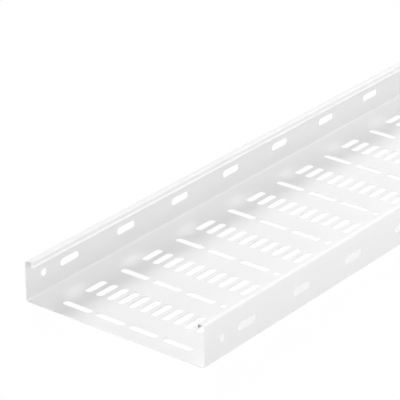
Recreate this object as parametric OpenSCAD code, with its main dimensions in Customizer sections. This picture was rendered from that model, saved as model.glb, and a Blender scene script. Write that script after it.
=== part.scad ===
// Perforated cable tray: one sheet, punched flat and then folded into an open channel.
// The tray lies along X with its underside on Z = 0, centred on the origin.

/* [Tray] */
// Length of the tray, as it is sold
tray_length = 3000; // [600:60:6000]
// Width over the outer faces of the side walls
tray_width = 300; // [150:25:600]
// Height from the underside to the top of the hem
tray_height = 61; // [50:1:111]
// Thickness of the sheet
sheet = 1; // [0.7:0.1:1.5]
// Inner radius of the fold between the floor and a side wall
floor_fold_radius = 2.5; // [0.5:0.1:4]
// Inner radius of the fold between a side wall and its hem
top_fold_radius = 3; // [0.5:0.1:4]
// Inner radius of the two folds of the lip
fold_radius = 1; // [0.5:0.1:2]

/* [Hem] */
// Width of the hem's top, from the wall's outer face to the lip
hem_width = 12; // [10:0.5:18]
// Depth of the lip's upright part, from the top of the hem
lip_depth = 5.5; // [4.5:0.5:12]
// Length of the slanting foot below the lip
foot_length = 2.75; // [2.5:0.25:6]
// Angle by which the foot turns in from the upright
foot_angle = 45; // [20:5:60]

/* [Floor slots] */
// Length of a crosswise slot, end to end
cross_slot_length = 48; // [30:1:60]
// Width of a crosswise slot
cross_slot_width = 11; // [6:0.5:14]
// Metal left between two crosswise slots
cross_slot_web = 8.25; // [5:0.25:20]
// Length of a lengthwise slot, end to end
long_slot_length = 39; // [25:1:45]
// Width of a lengthwise slot
long_slot_width = 11; // [6:0.5:14]
// Metal left between two lengthwise slots
long_slot_web = 7.75; // [5:0.25:20]
// Bare strip of floor along each side wall
bare_strip = 40; // [15:1:60]
// Distance from the end of the tray to the first crosswise row
first_row = 29; // [20:1:40]
// Distance between crosswise rows, with a lengthwise row midway
row_pitch = 120; // [100:5:180]

/* [Wall holes] */
// Height of the wall's slots and holes above the underside
wall_hole_height = 29.25; // [20:0.25:35]
// Length of a wall slot, end to end
wall_slot_length = 38; // [25:1:45]
// Width of a wall slot
wall_slot_width = 10.5; // [6:0.5:14]
// Diameter of the coupling hole at each end of a wall
coupling_hole = 11; // [6:0.5:14]
// Distance from the end of the tray to its coupling hole
coupling_inset = 36.5; // [15:0.5:42]

/* [Edges] */
// Least metal left between a slot and another hole or the end
least_web = 8; // [4:0.5:12]

/* [Hidden] */
$fn = 48;

// Outer radii of the folds of the lip and of the wall's top
outer_radius = fold_radius + sheet;
top_radius = top_fold_radius + sheet;

// Rows of slots, measured from the near end of the tray
near_end = -tray_length / 2;
cross_rows = [for (x = [first_row : row_pitch : tray_length - least_web - cross_slot_width / 2]) x];
long_rows = [
    for (x = [first_row + row_pitch / 2 : row_pitch : tray_length - least_web - long_slot_length / 2]) x
];

// The wall's slots line up with the lengthwise rows and keep clear of the coupling holes
coupling_clear = coupling_inset + coupling_hole / 2 + least_web + wall_slot_length / 2;
wall_rows = [for (x = long_rows) if (x > coupling_clear && x < tray_length - coupling_clear) x];
coupling_rows = [coupling_inset, tray_length - coupling_inset];

// Width of the punched band in the middle of the floor
punched_width = tray_width - 2 * bare_strip;
cross_places = spread(cross_slot_length, cross_slot_web);
long_places = spread(long_slot_width, long_slot_web);

// How far a punch or a cut reaches past what it cuts
punch_over = 1;

// Places across the floor of as many slots as the punched band takes, about its middle
function spread(size, web) =
    let (count = floor((punched_width + web) / (size + web)))
    [for (i = [0 : 1 : count - 1]) (i - (count - 1) / 2) * (size + web)];

// Filled outline with its base at zero, upright sides and two round lower corners, each of
// its own radius
module trough(width, depth, left, right) {
    translate([left - width / 2, 0]) square([width - left - right, depth]);
    translate([-width / 2, left]) square([width - right, depth - left]);
    translate([left - width / 2, right]) square([width - left, depth - right]);
    translate([left - width / 2, left]) circle(r = left);
    translate([width / 2 - right, right]) circle(r = right);
}

// Sheet folded up on both sides to two inner radii: the channel itself, and the hem when it
// is turned over
module folded_u(width, depth, left, right) {
    difference() {
        trough(width, depth, left + sheet, right + sheet);
        translate([0, sheet]) trough(width - 2 * sheet, depth, left, right);
    }
}

// Filled outline of the lip's last fold, from its centre out to a radius: the end of the
// upright above, the foot turned in below it, and the round between them
module foot_outline(radius, upright, slant, behind) {
    translate([-behind, 0]) square([radius + behind, upright]);
    rotate(-foot_angle) translate([-behind, -slant]) square([radius + behind, slant]);
    intersection() {
        circle(r = radius);
        translate([0, -radius]) square([radius, radius + upright]);
    }
}

// Foot below the lip, which keeps the hem clear of sharp edges
module foot() {
    upright = (lip_depth - outer_radius) / 2;
    difference() {
        foot_outline(outer_radius, upright, foot_length, 0);
        foot_outline(fold_radius, upright + punch_over, foot_length + punch_over, punch_over);
    }
}

// Hem along the top of one side wall: over, down and in
module hem() {
    translate([tray_width / 2 - hem_width / 2, tray_height])
        mirror([0, 1]) folded_u(hem_width, lip_depth, fold_radius, top_fold_radius);
    translate([tray_width / 2 - hem_width - fold_radius, tray_height - lip_depth]) foot();
}

// Whole section of the tray
module section() {
    folded_u(tray_width, tray_height - top_radius, floor_fold_radius, floor_fold_radius);
    hem();
    mirror([1, 0]) hem();
}

// Outline of a slot with round ends, along X
module slot_outline(length, width) {
    straight = length - width;
    square([straight, width], center = true);
    for (side = [-1, 1]) translate([side * straight / 2, 0]) circle(d = width);
}

// Punch through the floor at a place along and across the tray
module floor_punch(along, across) {
    translate([near_end + along, across, -punch_over])
        linear_extrude(sheet + 2 * punch_over) children();
}

// Punch through both side walls at a place along the tray
module wall_punch(along) {
    through = tray_width + 2 * punch_over;
    translate([near_end + along, through / 2, wall_hole_height])
        rotate([90, 0, 0]) linear_extrude(through) children();
}

module tray() {
    color([0.93, 0.93, 0.93])
        difference() {
            translate([near_end, 0, 0]) rotate([90, 0, 90]) linear_extrude(tray_length) section();
            for (along = cross_rows, across = cross_places)
                floor_punch(along, across) rotate(90) slot_outline(cross_slot_length, cross_slot_width);
            for (along = long_rows, across = long_places)
                floor_punch(along, across) slot_outline(long_slot_length, long_slot_width);
            for (along = wall_rows)
                wall_punch(along) slot_outline(wall_slot_length, wall_slot_width);
            for (along = coupling_rows)
                wall_punch(along) circle(d = coupling_hole);
        }
}

tray();
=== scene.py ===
# %% [markdown]
# # A perforated cable tray, made as the factory makes it
# The real tray is one strip of sheet steel. It is punched while it is flat, folded into an
# open channel between rollers, cut to length and coated with white powder. The lesson goes
# the same way: a flat blank, punched, repeated, folded, given its thickness and coated.

# %% Load the frame
import math

import bmesh
import bpy
from mathutils import Matrix, Vector


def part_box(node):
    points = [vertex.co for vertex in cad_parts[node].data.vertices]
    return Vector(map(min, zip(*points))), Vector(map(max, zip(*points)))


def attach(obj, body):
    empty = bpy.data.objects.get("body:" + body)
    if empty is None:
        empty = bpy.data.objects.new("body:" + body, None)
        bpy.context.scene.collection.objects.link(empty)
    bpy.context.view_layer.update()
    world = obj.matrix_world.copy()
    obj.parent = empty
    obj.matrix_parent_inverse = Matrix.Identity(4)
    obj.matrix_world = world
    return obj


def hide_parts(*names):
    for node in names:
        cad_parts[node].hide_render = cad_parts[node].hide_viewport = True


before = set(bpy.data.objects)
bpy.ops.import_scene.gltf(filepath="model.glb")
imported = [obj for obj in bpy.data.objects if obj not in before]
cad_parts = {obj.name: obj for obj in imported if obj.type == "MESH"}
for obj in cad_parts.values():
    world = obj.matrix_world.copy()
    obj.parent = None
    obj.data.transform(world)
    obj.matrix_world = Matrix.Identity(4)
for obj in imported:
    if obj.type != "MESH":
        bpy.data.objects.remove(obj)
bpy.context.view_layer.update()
low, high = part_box("tray")
print("tray from the frame, mm:", [round(side * 1000, 2) for side in high - low])

# %% [markdown]
# ## The sizes of the tray
# Length, width and height come from the frame, so this model can't drift away from the
# solid part. The sizes of the folds and the punches are named once here, in millimetres.
# Blender works in metres, so every one of them is multiplied by MM where it is named. Two
# points that are less than "touching" apart count as one.

# %% Sizes
MM = 0.001
touching = 0.01 * MM

tray_length, tray_width, tray_height = high - low
half_width = tray_width / 2
near_end = low.x

sheet = 1.0 * MM
floor_fold_radius = 2.5 * MM
top_fold_radius = 3.0 * MM
fold_radius = 1.0 * MM
hem_width = 12.0 * MM
lip_depth = 5.5 * MM
foot_length = 2.75 * MM
foot_angle = math.radians(45)

row_pitch = 120.0 * MM
cross_row = 29.0 * MM
long_row = cross_row + row_pitch / 2
punched_half = 112.5 * MM
cross_slot = (11.0 * MM, 48.0 * MM)
long_slot = (39.0 * MM, 11.0 * MM)
cross_count, long_count = 4, 12

wall_hole_height = 29.25 * MM
wall_slot = (38.0 * MM, 10.5 * MM)
coupling_hole = 11.0 * MM
coupling_inset = 36.5 * MM

pitch_count = round(tray_length / row_pitch)
print("pitches along the tray:", pitch_count)

# %% [markdown]
# ## Where the folds lie on the flat blank
# A fold line is the sharp corner that the rounded fold is later cut from. Walking outwards
# from the middle of the floor, each flat stretch ends at such a line: floor, wall, the top
# of the hem, its lip and the slanting foot. The foot's own fold takes a little of the lip
# and of the foot, which is the tangent length of its small round.

# %% Fold lines
foot_tangent = fold_radius * math.tan(foot_angle / 2)

floor_fold = half_width
top_fold = floor_fold + tray_height
hem_fold = top_fold + hem_width
foot_fold = hem_fold + lip_depth + foot_tangent
blank_half = foot_fold + foot_tangent + foot_length
print("blank is", round(2 * blank_half / MM, 2), "mm wide before it is folded")

# %% [markdown]
# ## Picking by place
# By hand one would click on a face or drag a box. In a script the same choice is made by
# asking every face or edge where it is. Both helpers work on the mesh in edit mode and
# leave exactly the chosen elements selected.

# %% Helpers that select
def pick_faces(wanted):
    """Select the faces that pass the test, and nothing else."""
    bpy.ops.mesh.select_mode(type="FACE")
    bpy.ops.mesh.select_all(action="DESELECT")
    mesh = bmesh.from_edit_mesh(bpy.context.object.data)
    for face in mesh.faces:
        if wanted(face):
            face.select_set(True)
    bmesh.update_edit_mesh(bpy.context.object.data)


def pick_edges(wanted):
    """Select the edges whose two ends both pass the test, and nothing else."""
    bpy.ops.mesh.select_mode(type="EDGE")
    bpy.ops.mesh.select_all(action="DESELECT")
    mesh = bmesh.from_edit_mesh(bpy.context.object.data)
    for edge in mesh.edges:
        if all(wanted(corner.co) for corner in edge.verts):
            edge.select_set(True)
    bmesh.update_edit_mesh(bpy.context.object.data)


def near(value, target):
    """Whether two lengths are the same but for rounding."""
    return abs(value - target) < touching


# %% [markdown]
# ## One pitch of the blank
# The pattern repeats every 120 mm, so only one pitch is drawn. It starts as a plane and is
# cut into cells with bisect: lines across it bound the two rows of slots, and lines along
# it are the fold lines and the edges of the punched bands. Each slot later gets a cell to
# itself. A knife or a loop cut would need a window; bisect takes its line as numbers.

# %% Helpers that cut
def cut_across(place, wanted):
    """Cut the picked faces of the blank along a line of constant x."""
    pick_faces(wanted)
    bpy.ops.mesh.bisect(plane_co=(place, 0, 0), plane_no=(1, 0, 0))


def cut_along(place, wanted):
    """Cut the picked faces of the blank along a line of constant y."""
    pick_faces(wanted)
    bpy.ops.mesh.bisect(plane_co=(0, place, 0), plane_no=(0, 1, 0))


def everywhere(face):
    """A test that every face passes."""
    return True


# %% Cut the plane into cells
cell_half = 24.0 * MM
wall_cell_half = 12.0 * MM
wall_band = half_width + wall_hole_height

bpy.ops.object.select_all(action="DESELECT")
bpy.ops.mesh.primitive_plane_add(size=1, location=(0, 0, 0))
pitch = bpy.context.object
pitch.name = "pitch"
bpy.ops.object.mode_set(mode="EDIT")
bpy.ops.transform.resize(value=(row_pitch, 2 * blank_half, 1), center_override=(0, 0, 0))
bpy.ops.transform.translate(value=(row_pitch / 2, 0, 0))

for row in (cross_row, long_row):
    for side in (-1, 1):
        cut_across(row + side * cell_half, everywhere)
for side in (-1, 1):
    for line in (punched_half, floor_fold, top_fold, hem_fold, foot_fold):
        cut_along(side * line, everywhere)
    for rim in (-1, 1):
        cut_along(side * (wall_band + rim * wall_cell_half), everywhere)
print("cells after the first cuts:", len(bmesh.from_edit_mesh(pitch.data).faces))

# %% [markdown]
# The two rows differ: four long slots lie across the tray in one, twelve short ones lie
# along it in the other. So each row's strip of floor is divided on its own, between the
# edges of its cells only, and the bare floor between the rows stays whole.

# %% Divide the two rows
def divide_row(row, count):
    """Divide the punched strip of floor about one row into equal cells."""
    def in_row(face):
        centre = face.calc_center_bounds()
        return abs(centre.x - row) < cell_half and abs(centre.y) < punched_half

    cell = 2 * punched_half / count
    for line in range(1, count):
        cut_along(line * cell - punched_half, in_row)
    return [(line + 0.5) * cell - punched_half for line in range(count)]


cross_places = divide_row(cross_row, cross_count)
long_places = divide_row(long_row, long_count)
print("crosswise slots lie at, mm:", [round(across / MM, 2) for across in cross_places])
print("lengthwise slots lie at, mm:", [round(across / MM, 2) for across in long_places])

# %% [markdown]
# ## The punch
# A slot is drawn as a plane of its size whose four corners are bevelled by half its width,
# so that its ends become half circles. It lies in its cell as the slug lies under the
# punch. With slug and cell selected together, bridge joins their outlines with a ring of
# faces that takes the cell's place, and then the slug is deleted. A boolean would punch
# the hole too, but it would leave long thin faces from hole to hole.

# %% Punch a hole
corner_segments = 6


def punch(place, size):
    """Open the cell at a place with a slot, or with a round hole where both sizes agree."""
    centre = Vector((place[0], place[1], 0))
    bpy.ops.mesh.select_mode(type="VERT")
    bpy.ops.mesh.select_all(action="DESELECT")
    bpy.ops.mesh.primitive_plane_add(size=1, location=centre)
    bpy.ops.transform.resize(value=(size[0], size[1], 1), center_override=centre)
    bpy.ops.mesh.bevel(
        affect="VERTICES", offset=min(size) / 2, segments=corner_segments, clamp_overlap=False
    )
    bpy.ops.mesh.remove_doubles(threshold=touching)

    def spans(face, axis):
        """Whether a face reaches to both sides of the centre along an axis."""
        offsets = [corner.co[axis] - centre[axis] for corner in face.verts]
        return min(offsets) < 0 < max(offsets)

    pick_faces(lambda face: spans(face, 0) and spans(face, 1))
    bpy.ops.mesh.bridge_edge_loops()
    pick_faces(lambda face: (face.calc_center_bounds() - centre).length < touching)
    bpy.ops.mesh.delete(type="FACE")


for across in cross_places:
    punch((cross_row, across), cross_slot)
for across in long_places:
    punch((long_row, across), long_slot)
bpy.ops.object.mode_set(mode="OBJECT")
print("faces of one pitch with its floor punched:", len(pitch.data.polygons))

# %% [markdown]
# ## Three kinds of pitch
# Every pitch but the last has a slot in each wall, level with the lengthwise row. The two
# ends also have a round hole for the coupler: the first pitch has it in front of its slot,
# and the last has it where its slot would be. So the punched pitch is copied three times,
# each copy with its own mesh, and the walls of the three are punched apart.

# %% Punch the walls
round_hole = (coupling_hole, coupling_hole)
wall_punches = {
    "first_pitch": [(coupling_inset, round_hole), (long_row, wall_slot)],
    "middle_pitch": [(long_row, wall_slot)],
    "last_pitch": [(row_pitch - coupling_inset, round_hole)],
}


def only(thing):
    """Make one object the selected and active one."""
    bpy.ops.object.select_all(action="DESELECT")
    thing.select_set(True)
    bpy.context.view_layer.objects.active = thing


def punched_copy(name):
    """Copy the pitch, and punch both of the copy's walls."""
    only(pitch)
    bpy.ops.object.duplicate(linked=False)
    copy = bpy.context.object
    copy.name = name
    bpy.ops.object.mode_set(mode="EDIT")
    for along, size in wall_punches[name]:
        for side in (-1, 1):
            punch((along, side * wall_band), size)
    bpy.ops.object.mode_set(mode="OBJECT")
    print(name, "has", len(copy.data.polygons), "faces")
    return copy


first_pitch, middle_pitch, last_pitch = [punched_copy(name) for name in wall_punches]
bpy.data.objects.remove(pitch)

# %% [markdown]
# ## The whole blank
# An Array modifier repeats the middle pitch, the two end pitches go before and after it,
# and join makes one mesh of the three. Their edges meet point for point, so merging by
# distance closes the seams. The normals are then made to agree, and turned downwards: the
# underside of the blank becomes the outside of the tray.

# %% Repeat and join
only(middle_pitch)
repeat = middle_pitch.modifiers.new("repeat", "ARRAY")
repeat.count = pitch_count - 2
repeat.use_relative_offset = False
repeat.use_constant_offset = True
repeat.constant_offset_displace = (row_pitch, 0, 0)
bpy.ops.object.modifier_apply(modifier=repeat.name)

for part, start in (
    (first_pitch, 0),
    (middle_pitch, 1),
    (last_pitch, pitch_count - 1),
):
    part.location.x = near_end + start * row_pitch
    part.select_set(True)
bpy.ops.object.join()
tray_sheet = bpy.context.object
tray_sheet.name = "tray_sheet"
bpy.ops.object.transform_apply(location=True, rotation=True, scale=True)
print("joined:", len(tray_sheet.data.polygons), "faces")

# %% Merge the seams and turn the faces
bpy.ops.object.mode_set(mode="EDIT")
bpy.ops.mesh.select_all(action="SELECT")
bpy.ops.mesh.remove_doubles(threshold=touching)
bpy.ops.mesh.normals_make_consistent(inside=False)
mesh = bmesh.from_edit_mesh(tray_sheet.data)
mesh.faces.ensure_lookup_table()
if mesh.faces[0].normal.z > 0:
    bpy.ops.mesh.flip_normals()
bpy.ops.object.mode_set(mode="OBJECT")
print("flat blank:", len(tray_sheet.data.vertices), "points after the merge")

# %% [markdown]
# ## Folding
# The machine folds from the edge inwards: first the foot, then the lip, the hem and last
# the wall, because what is already folded swings along. Each fold turns all that lies
# outside its line. The foot turns the other way from the rest. With no window open,
# Blender turns against the sign one would give by hand, so the angles carry a minus.

# %% Fold both sides
BACKWARDS = -1
folds = [
    (foot_fold, -foot_angle),
    (hem_fold, math.radians(90)),
    (top_fold, math.radians(90)),
    (floor_fold, math.radians(90)),
]
flat_place = [corner.co.y for corner in tray_sheet.data.vertices]


def fold(side, line, angle):
    """Turn all that lies outside a fold line upwards about that line."""
    bpy.ops.mesh.select_mode(type="VERT")
    bpy.ops.mesh.select_all(action="DESELECT")
    mesh = bmesh.from_edit_mesh(bpy.context.object.data)
    for corner in mesh.verts:
        if flat_place[corner.index] * side > line + touching:
            corner.select_set(True)
    mesh.select_flush(True)
    bmesh.update_edit_mesh(bpy.context.object.data)
    bpy.ops.transform.rotate(
        value=BACKWARDS * side * angle,
        orient_axis="X",
        center_override=(0, side * line, 0),
    )


bpy.ops.object.mode_set(mode="EDIT")
for side in (-1, 1):
    for line, angle in folds:
        fold(side, line, angle)
bpy.ops.object.mode_set(mode="OBJECT")
print("folded to, mm:", [round(size / MM, 2) for size in tray_sheet.dimensions])

# %% [markdown]
# ## Rounding the folds
# Sheet can't take a sharp corner: it bends round the roller's edge. Bevel rounds each fold
# line on the outside of the sheet, where the radius is that of the bend plus the sheet.
# The foot bends the other way, so its outside is the small inner radius. Bevel's offset is
# the tangent length, which equals the radius only where the turn is a right angle.

# %% Bevel the fold lines
fold_segments = 6
foot_segments = 3
lip_place = half_width - hem_width
right_folds = [
    (floor_fold_radius, (half_width, 0)),
    (top_fold_radius, (half_width, tray_height)),
    (fold_radius, (lip_place, tray_height)),
]
foot_corner = (lip_place, tray_height - lip_depth - foot_tangent)


def on_corner(across, up):
    """A test for points that lie on the fold line at this place of the section."""
    return lambda place: near(abs(place.y), across) and near(place.z, up)


def round_fold(corner, offset, segments):
    """Round the fold lines through a corner of the section, on both sides."""
    pick_edges(on_corner(*corner))
    chosen = sum(edge.select for edge in bmesh.from_edit_mesh(tray_sheet.data).edges)
    bpy.ops.mesh.bevel(
        affect="EDGES", offset=offset, segments=segments, profile=0.5, clamp_overlap=False
    )
    print("rounded", chosen, "edges of fold line")


bpy.ops.object.mode_set(mode="EDIT")
for radius, corner in right_folds:
    round_fold(corner, radius + sheet, fold_segments)
round_fold(foot_corner, foot_tangent, foot_segments)
bpy.ops.object.mode_set(mode="OBJECT")

# %% [markdown]
# ## The thickness of the sheet
# Solidify grows the surface into a sheet of even thickness, inwards from the outside of
# the tray, and closes the rims of all holes and ends. Even thickness matters at the folds,
# where a plain offset along the normals would thin the metal. The rims go to a second
# material slot, for the coat on the cut edges.

# %% Solidify
INWARDS = -1
face_slot, edge_slot = 0, 1
smooth_below = math.radians(35)

only(tray_sheet)
thickness = tray_sheet.modifiers.new("thickness", "SOLIDIFY")
thickness.thickness = sheet
thickness.offset = INWARDS
thickness.use_even_offset = True
thickness.use_quality_normals = True
thickness.use_rim = True
thickness.material_offset_rim = edge_slot
tray_sheet.data.materials.append(None)
tray_sheet.data.materials.append(None)
bpy.ops.object.modifier_apply(modifier=thickness.name)
bpy.ops.object.shade_smooth_by_angle(angle=smooth_below)
print("sheet:", len(tray_sheet.data.polygons), "faces")

# %% [markdown]
# ## Edges that the coat has eased
# A punched edge is sharp, but powder flows round it as it melts. A narrow Bevel on every
# sharp edge gives the small round that catches the light, and its hardened normals keep
# the flats beside it looking flat. The new faces join the cut edges in the second slot.

# %% Ease the cut edges
eased_edge = 0.45 * MM
sharp_above = math.radians(60)

ease = tray_sheet.modifiers.new("ease", "BEVEL")
ease.width = eased_edge
ease.segments = 1
ease.limit_method = "ANGLE"
ease.angle_limit = sharp_above
ease.use_clamp_overlap = False
ease.harden_normals = True
ease.material = edge_slot
bpy.ops.object.modifier_apply(modifier=ease.name)
print("eased sheet:", len(tray_sheet.data.polygons), "faces")

# %% Measure the sheet
finished = bmesh.new()
finished.from_mesh(tray_sheet.data)
open_edges = sum(not edge.is_manifold for edge in finished.edges)
volume = finished.calc_volume(signed=True)
triangles = sum(len(face.verts) - 2 for face in finished.faces)
finished.free()
print("triangles", triangles, "open edges", open_edges, "volume cm3", round(volume * 1e6, 1))

# %% [markdown]
# ## The skin of powder coat
# Powder melts into a skin that is smooth to the hand but not quite flat: in glancing light
# it shows soft dimples about a millimetre across, called orange peel, and faint clouds
# where the spray was a little thicker. Faces and cut edges share this skin, so it is a
# node group. It gives only what changes over the surface; the plain values stay in the
# materials. Object coordinates keep the skin in place on the tray.

# %% Helpers for nodes
def add_socket(group, name, kind, direction, value=None):
    """Give a node group one named socket, with a starting value if one is given."""
    socket = group.interface.new_socket(name=name, in_out=direction, socket_type=kind)
    if value is not None:
        socket.default_value = value


def add_node(tree, kind, place, **values):
    """Put a node into a tree and set its inputs, whose names have _ for a space."""
    node = tree.nodes.new(kind)
    node.location = place
    for name, value in values.items():
        node.inputs[name.replace("_", " ")].default_value = value
    return node


# %% Node group for the skin
skin = bpy.data.node_groups.new("powder_skin", "ShaderNodeTree")
add_socket(skin, "Place", "NodeSocketVector", "INPUT")
add_socket(skin, "Dimples per metre", "NodeSocketFloat", "INPUT", 700.0)
add_socket(skin, "Clouds per metre", "NodeSocketFloat", "INPUT", 9.0)
add_socket(skin, "Dimple height", "NodeSocketFloat", "OUTPUT")
add_socket(skin, "Cloud", "NodeSocketFloat", "OUTPUT")

skin_in = add_node(skin, "NodeGroupInput", (-600, 0))
skin_out = add_node(skin, "NodeGroupOutput", (400, 0))
dimples = add_node(skin, "ShaderNodeTexNoise", (-300, 150), Detail=2.0, Roughness=0.45)
clouds = add_node(skin, "ShaderNodeTexNoise", (-300, -150), Detail=3.0, Roughness=0.5)
for texture, scale, target in (
    (dimples, "Dimples per metre", "Dimple height"),
    (clouds, "Clouds per metre", "Cloud"),
):
    skin.links.new(skin_in.outputs["Place"], texture.inputs["Vector"])
    skin.links.new(skin_in.outputs[scale], texture.inputs["Scale"])
    skin.links.new(texture.outputs["Fac"], skin_out.inputs[target])
print("node group", skin.name, "gives", [socket.name for socket in skin_out.inputs if socket.name])

# %% [markdown]
# ## Two coats
# The broad faces carry the full coat: a clean white with a satin gloss. Round the cut edges
# the powder pulls back as it melts, so there the skin is thinner, a trace greyer and less
# even. Both are one Principled shader each. Clouds shift the white by about one part in a
# hundred and the gloss a little more, which is all that a good coat shows.

# %% A coat of powder
coat_ior = 1.5


def powder_coat(name, thick, thin, gloss, dimple_depth, dimples_per_metre):
    """A coat between two shades and two roughnesses, with orange peel."""
    material = bpy.data.materials.new(name)
    material.use_nodes = True
    tree = material.node_tree
    shader = tree.nodes["Principled BSDF"]
    shader.inputs["IOR"].default_value = coat_ior

    place = add_node(tree, "ShaderNodeTexCoord", (-1100, 0))
    coat = add_node(tree, "ShaderNodeGroup", (-900, 0))
    coat.node_tree = skin
    coat.inputs["Dimples per metre"].default_value = dimples_per_metre
    tree.links.new(place.outputs["Object"], coat.inputs["Place"])

    shade = add_node(tree, "ShaderNodeMix", (-500, 250))
    shade.data_type = "RGBA"
    shade.inputs["A"].default_value = (thin, thin, thin, 1)
    shade.inputs["B"].default_value = (thick, thick, thick, 1)
    tree.links.new(coat.outputs["Cloud"], shade.inputs["Factor"])
    tree.links.new(shade.outputs["Result"], shader.inputs["Base Color"])

    sheen = add_node(tree, "ShaderNodeMapRange", (-500, 0))
    sheen.inputs["To Min"].default_value, sheen.inputs["To Max"].default_value = gloss
    tree.links.new(coat.outputs["Cloud"], sheen.inputs["Value"])
    tree.links.new(sheen.outputs["Result"], shader.inputs["Roughness"])

    bump = add_node(tree, "ShaderNodeBump", (-500, -300), Strength=1.0, Distance=dimple_depth)
    tree.links.new(coat.outputs["Dimple height"], bump.inputs["Height"])
    tree.links.new(bump.outputs["Normal"], shader.inputs["Normal"])
    return material


# %% Coat the faces and the cut edges
tray_sheet.data.materials[face_slot] = powder_coat(
    "powder_coat",
    thick=0.865,
    thin=0.850,
    gloss=(0.20, 0.25),
    dimple_depth=0.03 * MM,
    dimples_per_metre=700,
)
tray_sheet.data.materials[edge_slot] = powder_coat(
    "powder_coat_edges",
    thick=0.855,
    thin=0.835,
    gloss=(0.25, 0.32),
    dimple_depth=0.02 * MM,
    dimples_per_metre=1200,
)
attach(tray_sheet, "root")
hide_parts("tray")
edge_faces = sum(face.material_index == edge_slot for face in tray_sheet.data.polygons)
print("faces with the edge coat:", edge_faces, "of", len(tray_sheet.data.polygons))

# %% [markdown]
# ## Painted shade inside the hem
# The back of the lip looks into the hem. It gets a darker grey coat, which is painted shade:
# it makes the hollow look dark from the end. Its faces are picked by place: just behind the
# lip and turned towards the wall.

# %% Painted shade inside the hem
painted_shade_slot = 2
least_turn = 0.5


def behind_lip(face):
    """Whether a face is the back of a lip, or of the folds above and below it."""
    centre = face.calc_center_bounds()
    side = math.copysign(1, centre.y)
    is_full_coat = face.material_index == face_slot
    is_by_lip = abs(abs(centre.y) - lip_place) < hem_width / 2
    return is_full_coat and is_by_lip and face.normal.y * side > least_turn


# Painted shade: a darker grey coat for the back of the lip, so that the hem's hollow looks dark
# from the end
painted_shade_coat = powder_coat(
    "painted_shade_behind_lip",
    thick=0.55,
    thin=0.45,
    gloss=(0.35, 0.50),
    dimple_depth=0.02 * MM,
    dimples_per_metre=1200,
)
tray_sheet.data.materials.append(painted_shade_coat)
only(tray_sheet)
tray_sheet.active_material_index = painted_shade_slot
bpy.ops.object.mode_set(mode="EDIT")
pick_faces(behind_lip)
bpy.ops.object.material_slot_assign()
bpy.ops.object.mode_set(mode="OBJECT")
# Counts the faces that carry the painted shade behind the lip
painted_shade_faces = sum(face.material_index == painted_shade_slot for face in tray_sheet.data.polygons)
print("faces with the thin coat:", painted_shade_faces)

# %% [markdown]
# ## A white ground
# The tray is shown on plain white. The ground is a pale floor that looks white to the
# camera and in reflections, whatever light falls on it, but is an ordinary matt floor to
# all other rays. A small share of its true shading stays, so the tray keeps its shadow.
# The sky is white in the same way, and its light on the tray is dim.

# %% White to the eye
def seen_directly(tree):
    """A value of 1 for camera, glossy and transmission rays, and 0 for all others."""
    path = add_node(tree, "ShaderNodeLightPath", (-900, 300))
    either = add_node(tree, "ShaderNodeMath", (-700, 300))
    any_of = add_node(tree, "ShaderNodeMath", (-500, 300))
    for step in (either, any_of):
        step.operation = "MAXIMUM"
    tree.links.new(path.outputs["Is Camera Ray"], either.inputs[0])
    tree.links.new(path.outputs["Is Glossy Ray"], either.inputs[1])
    tree.links.new(either.outputs[0], any_of.inputs[0])
    tree.links.new(path.outputs["Is Transmission Ray"], any_of.inputs[1])
    return any_of.outputs[0]


def white_where_seen(tree, plain, white, white_share, output):
    """Show a share of white to rays that see directly, and the plain shader to the rest."""
    share = add_node(tree, "ShaderNodeMath", (-300, 300))
    share.operation = "MULTIPLY"
    share.inputs[1].default_value = white_share
    mix = add_node(tree, "ShaderNodeMixShader", (200, 100))
    tree.links.new(seen_directly(tree), share.inputs[0])
    tree.links.new(share.outputs[0], mix.inputs[0])
    tree.links.new(plain.outputs[0], mix.inputs[1])
    tree.links.new(white.outputs[0], mix.inputs[2])
    tree.links.new(mix.outputs[0], tree.nodes[output].inputs["Surface"])


# %% Floor
floor_size = 60.0
floor_gap = 0.2 * MM
floor_shade = (0.8, 0.8, 0.8, 1)
floor_roughness = 0.9
floor_white = 0.98

bpy.ops.object.select_all(action="DESELECT")
bpy.ops.mesh.primitive_plane_add(size=floor_size, location=(0, 0, low.z - floor_gap))
ground = bpy.context.object
ground.name = "ground"

paper = bpy.data.materials.new("white_paper")
paper.use_nodes = True
matt = paper.node_tree.nodes["Principled BSDF"]
matt.inputs["Base Color"].default_value = floor_shade
matt.inputs["Roughness"].default_value = floor_roughness
glow = add_node(paper.node_tree, "ShaderNodeEmission", (-300, -200), Strength=1.0)
white_where_seen(paper.node_tree, matt, glow, floor_white, "Material Output")
ground.data.materials.append(paper)
print("white floor of", floor_size, "m")

# %% Sky
sky_light = 0.34
sky_white = 1.0

sky = bpy.data.worlds.new("white_sky")
bpy.context.scene.world = sky
sky.use_nodes = True
dim = sky.node_tree.nodes["Background"]
bright = add_node(sky.node_tree, "ShaderNodeBackground", (-300, -200))
for background, strength in ((dim, sky_light), (bright, 1.0)):
    background.inputs["Color"].default_value = (1, 1, 1, 1)
    background.inputs["Strength"].default_value = strength
white_where_seen(sky.node_tree, dim, bright, sky_white, "World Output")
print("white sky that gives light of strength", sky_light)

# %% [markdown]
# ## Light
# Light through the far wall's slots falls on the floor as soft patches, which gives away
# the key light: it stands behind that wall and far along the tray, about 33 degrees up.
# Four more lamps fill in: one behind the tray, one low in front for the near wall, one low
# at the left for the tray's end, and one overhead, which casts no shadow of the hems. The
# two behind the tray don't show in the gloss, where the floor would mirror them. Sun lamps
# are used because the tray is three metres long and should be lit alike over its length.

# %% A lamp
def add_lamp(kind, name, side, strength):
    """A lamp of one kind, turned so that its light comes from the given side."""
    lamp = bpy.data.lights.new(name, kind)
    lamp.energy = strength
    holder = bpy.data.objects.new(name, lamp)
    bpy.context.scene.collection.objects.link(holder)
    holder.rotation_mode = "QUATERNION"
    holder.rotation_quaternion = side.to_track_quat("Z", "Y")
    return holder


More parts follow.
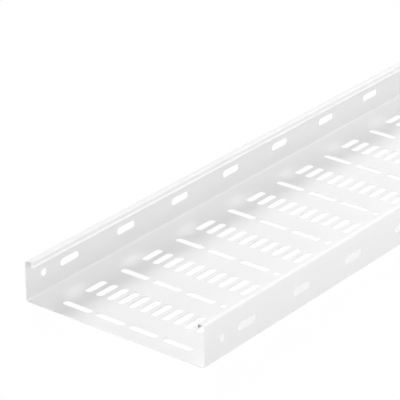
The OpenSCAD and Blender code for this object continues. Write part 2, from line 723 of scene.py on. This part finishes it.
# %% Sun lamps
# Each sun has a name, the side that it stands on, a strength and a width in degrees
suns = [
    ("key", (0.53, 0.64, 0.55), 1.38, 18),
    ("behind", (0.10, 0.85, 0.50), 0.43, 40),
    ("front", (0.20, -0.965, 0.11), 1.38, 40),
    ("left", (-0.996, 0.00, 0.087), 1.60, 20),
    ("overhead", (0.00, 0.00, 1.00), 0.62, 20),
]
hidden_from_gloss = ("key", "behind")
without_shadow = ("overhead",)

for name, side, strength, width in suns:
    lamp = add_lamp("SUN", name, Vector(side), strength)
    lamp.data.angle = math.radians(width)
    lamp.data.use_shadow = name not in without_shadow
    lamp.visible_glossy = name not in hidden_from_gloss
print("sun lamps:", [name for name, *rest in suns])

# %% [markdown]
# A soft box stands in front of the tray's middle. It is close, so its light falls off
# towards the near end, which is a little darker. It is two lamps of equal power in one
# place, and the second casts no shadow: the floor close behind the near wall shows through
# that wall's slots, and it should stay light.

# %% Soft box
box_place = Vector((0.0, -1.2, 1.6))
box_length, box_height = 2.0, 0.8
box_power = 4.6

for name, has_shadow in (("soft_box", True), ("soft_fill", False)):
    box = add_lamp("AREA", name, box_place, box_power)
    box.location = box_place
    box.data.shape = "RECTANGLE"
    box.data.size = box_length
    box.data.size_y = box_height
    box.data.use_shadow = has_shadow
print("soft box at", [round(x, 2) for x in box_place])

# %% [markdown]
# The bright lines along the folds are the mirror images of lamps far down the tray. Two
# suns there give only those: they show in the gloss, light nothing else and cast no shadow.

# %% Glints
glints = [
    ("glint_above", (0.715, 0.06, 0.696), 0.80, 28),
    ("glint_in_front", (0.715, -0.426, 0.555), 0.27, 28),
]
for name, side, strength, width in glints:
    lamp = add_lamp("SUN", name, Vector(side), strength)
    lamp.data.angle = math.radians(width)
    lamp.data.use_shadow = False
    lamp.visible_diffuse = False
print("glints:", [name for name, *rest in glints])

# %% [markdown]
# One small spot lamp shines into the open end of the far hem. Without it the hollow there
# would be dark, but in the picture it is as light as the wall below it. The beam is so
# narrow that it lights little else.

# %% Spot on the far hem
spot_side = Vector((-0.90, -0.43, 0.00))
spot_distance = 0.5
spot_power = 5.5
spot_beam = math.radians(1.4)
spot_radius = 5.0 * MM
into_hem = 6.0 * MM
below_top = 3.5 * MM

hem_end = Vector((near_end + into_hem, half_width - sheet, tray_height - below_top))
spot = add_lamp("SPOT", "hem_spot", spot_side, spot_power)
spot.location = hem_end + spot_distance * spot_side
spot.data.spot_size = spot_beam
spot.data.spot_blend = 1.0
spot.data.shadow_soft_size = spot_radius

# %% [markdown]
# ## Camera
# The camera was found from the picture: its lines of folds and rows of slots meet at two
# points far outside, which gives its direction and its lens. It stands three metres from
# the tray's near corner and looks down at about 25 degrees through a long lens. Heading
# and tilt are in radians, and the focal length is in pixels of the picture.

# %% Where the camera looks
corner_to_camera = Vector((-2097.5, -1621.1, 1483.4)) * MM
camera_place = low + corner_to_camera
heading = 0.6602
tilt = 0.44

sight = Vector((
    math.cos(heading) * math.cos(tilt),
    math.sin(heading) * math.cos(tilt),
    -math.sin(tilt),
))
right = Vector((math.sin(heading), -math.cos(heading), 0))
up = right.cross(sight)
print("camera at", [round(x, 3) for x in camera_place], "looks along", [round(x, 3) for x in sight])

# %% Camera
focal_pixels = 2406.6
picture_pixels = 400
sensor_width = 36.0
farthest_view = 100.0

lens = bpy.data.cameras.new("camera")
lens.sensor_width = sensor_width
lens.lens = focal_pixels / picture_pixels * sensor_width
lens.clip_end = farthest_view
eye = bpy.data.objects.new("camera", lens)
bpy.context.scene.collection.objects.link(eye)
turn = Matrix((right, up, -sight)).transposed().to_4x4()
eye.matrix_world = Matrix.Translation(camera_place) @ turn
bpy.context.scene.camera = eye
bpy.context.scene.view_settings.view_transform = "Standard"
print("lens of", round(lens.lens, 1), "mm")
